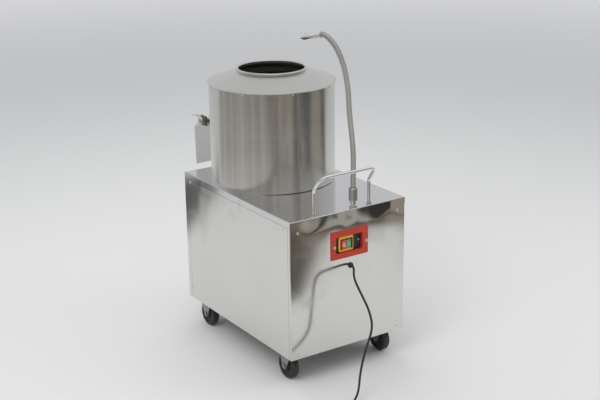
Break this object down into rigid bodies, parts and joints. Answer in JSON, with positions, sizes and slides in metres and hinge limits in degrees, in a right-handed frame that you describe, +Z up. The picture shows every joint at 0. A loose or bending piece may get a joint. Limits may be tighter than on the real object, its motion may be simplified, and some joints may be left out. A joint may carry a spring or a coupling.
{
  "type": "commercial potato peeler",
  "caption": "Floor-standing potato peeler: steel cabinet on castors, abrasive drum with open lid, gated side chute, gooseneck water spout, push handle, switch and mains lead.",
  "frame": {"origin": "on the floor, under the middle of the machine's outline without its mains lead", "axes": "+Z up, -Y towards the switch and the push handle, +Y towards the discharge chute, +X to the right of someone who stands behind the push handle's side looking at the chute"},
  "size_m": [0.5249, 1.2451, 1.2307],
  "materials": {
    "stainless_polished": "mirror-polished stainless sheet",
    "stainless_brushed": "brushed stainless, fine horizontal grain",
    "stainless_satin": "satin stainless",
    "chrome": "bright plated",
    "frame_steel": "grey primer, satin",
    "zinc_steel": "zinc-plated, satin",
    "bare_steel": "machined",
    "cast_housing": "cast and painted",
    "cast_disc": "cast, coated with abrasive grit",
    "abrasive": "coarse abrasive grit",
    "black_rubber": "matte rubber",
    "motor_paint": "painted aluminium",
    "bracket_olive": "dark olive, satin",
    "tray_red": "gloss red",
    "switch_black": "satin black plastic",
    "bezel_yellow": "gloss yellow plastic",
    "button_red": "gloss red plastic",
    "button_green": "gloss green plastic",
    "cord_black": "flexible black sheath",
    "tyre_black": "solid rubber wheel"
  },
  "bodies": {
    "machine": {"top_deck": "stainless_polished", "front_panel": "stainless_polished", "rear_panel": "stainless_polished", "left_side_panel": "stainless_polished", "right_side_panel": "stainless_polished", "panel_screws": "chrome", "base_frame": "frame_steel", "corner_posts": "frame_steel", "top_ring": "frame_steel", "cross_bars": "frame_steel", "castor_plates": "zinc_steel", "castor_bolts": "zinc_steel", "rear_forks": "zinc_steel", "bearing_plate": "frame_steel", "bearing_housing": "cast_housing", "housing_bolts": "zinc_steel", "spindle_bearings": "bare_steel", "shaft_seal": "black_rubber", "drive_belts": "black_rubber", "motor_body": "motor_paint", "motor_plate": "frame_steel", "drum": "stainless_brushed", "drum_pan": "stainless_satin", "abrasive_liner": "abrasive", "drain_pipe": "stainless_satin", "lid": "stainless_satin", "lid_screws": "chrome", "discharge_chute": "stainless_satin", "pivot_brackets": "bracket_olive", "push_handle": "chrome", "handle_nuts": "chrome", "water_nipple": "chrome", "switch_tray": "tray_red", "switch_body": "switch_black", "switch_bezel": "bezel_yellow", "switch_screws": "chrome", "cord_gland": "switch_black", "power_cord": "cord_black", "cord_coil": "cord_black", "power_plug": "switch_black"},
    "spindle_set": {"spindle": "bare_steel", "drum_pulley": "cast_housing", "abrasive_disc": "cast_disc", "disc_cap_nut": "chrome"},
    "motor_rotor": {"motor_shaft": "bare_steel", "motor_pulley": "cast_housing"},
    "gate": {"discharge_gate": "stainless_satin", "gate_seal": "black_rubber", "lift_lever": "stainless_satin"},
    "spout": {"hose_ferrule": "chrome", "gooseneck_hose": "chrome", "spray_nozzle": "chrome"},
    "stop_button": {"stop_button": "button_red"},
    "start_button": {"start_button": "button_green"},
    "front_left_fork": {"front_left_fork": "zinc_steel"},
    "front_right_fork": {"front_right_fork": "zinc_steel"},
    "front_left_wheel": {"front_left_wheel": "tyre_black"},
    "front_right_wheel": {"front_right_wheel": "tyre_black"},
    "rear_left_wheel": {"rear_left_wheel": "tyre_black"},
    "rear_right_wheel": {"rear_right_wheel": "tyre_black"}
  },
  "joints": [
    {"name": "drum_spin", "type": "hinge", "parent": "machine", "child": "spindle_set", "pos_m": [0, 0.066, 0.5], "axis": [0, 0, 1], "continuous": true},
    {"name": "motor_spin", "type": "hinge", "parent": "machine", "child": "motor_rotor", "pos_m": [0, -0.238, 0.25], "axis": [0, 0, 1], "continuous": true},
    {"name": "gate_lift", "type": "hinge", "parent": "machine", "child": "gate", "pos_m": [0, 0.38, 0.803], "axis": [1, 0, 0], "range_deg": [0, 75]},
    {"name": "spout_swivel", "type": "hinge", "parent": "machine", "child": "spout", "pos_m": [0.028, -0.415, 0.67], "axis": [0, 0, 1], "range_deg": [-90, 90]},
    {"name": "stop_press", "type": "slide", "parent": "machine", "child": "stop_button", "axis": [0, 1, 0], "range_m": [0, 0.003], "stiffness_N_per_m": 400},
    {"name": "start_press", "type": "slide", "parent": "machine", "child": "start_button", "axis": [0, 1, 0], "range_m": [0, 0.003], "stiffness_N_per_m": 400},
    {"name": "front_left_swivel", "type": "hinge", "parent": "machine", "child": "front_left_fork", "pos_m": [-0.206, -0.358, 0.11], "axis": [0, 0, 1], "continuous": true},
    {"name": "front_left_roll", "type": "hinge", "parent": "front_left_fork", "child": "front_left_wheel", "pos_m": [-0.206, -0.342, 0.05], "axis": [1, 0, 0], "continuous": true},
    {"name": "rear_left_roll", "type": "hinge", "parent": "machine", "child": "rear_left_wheel", "pos_m": [-0.206, 0.234, 0.05], "axis": [1, 0, 0], "continuous": true},
    {"name": "front_right_swivel", "type": "hinge", "parent": "machine", "child": "front_right_fork", "pos_m": [0.206, -0.358, 0.11], "axis": [0, 0, 1], "continuous": true},
    {"name": "front_right_roll", "type": "hinge", "parent": "front_right_fork", "child": "front_right_wheel", "pos_m": [0.206, -0.342, 0.05], "axis": [1, 0, 0], "continuous": true},
    {"name": "rear_right_roll", "type": "hinge", "parent": "machine", "child": "rear_right_wheel", "pos_m": [0.206, 0.234, 0.05], "axis": [1, 0, 0], "continuous": true}
  ],
  "couplings": [
    {"joint": "motor_spin", "follows": "drum_spin", "ratio": 3.7541}
  ]
}
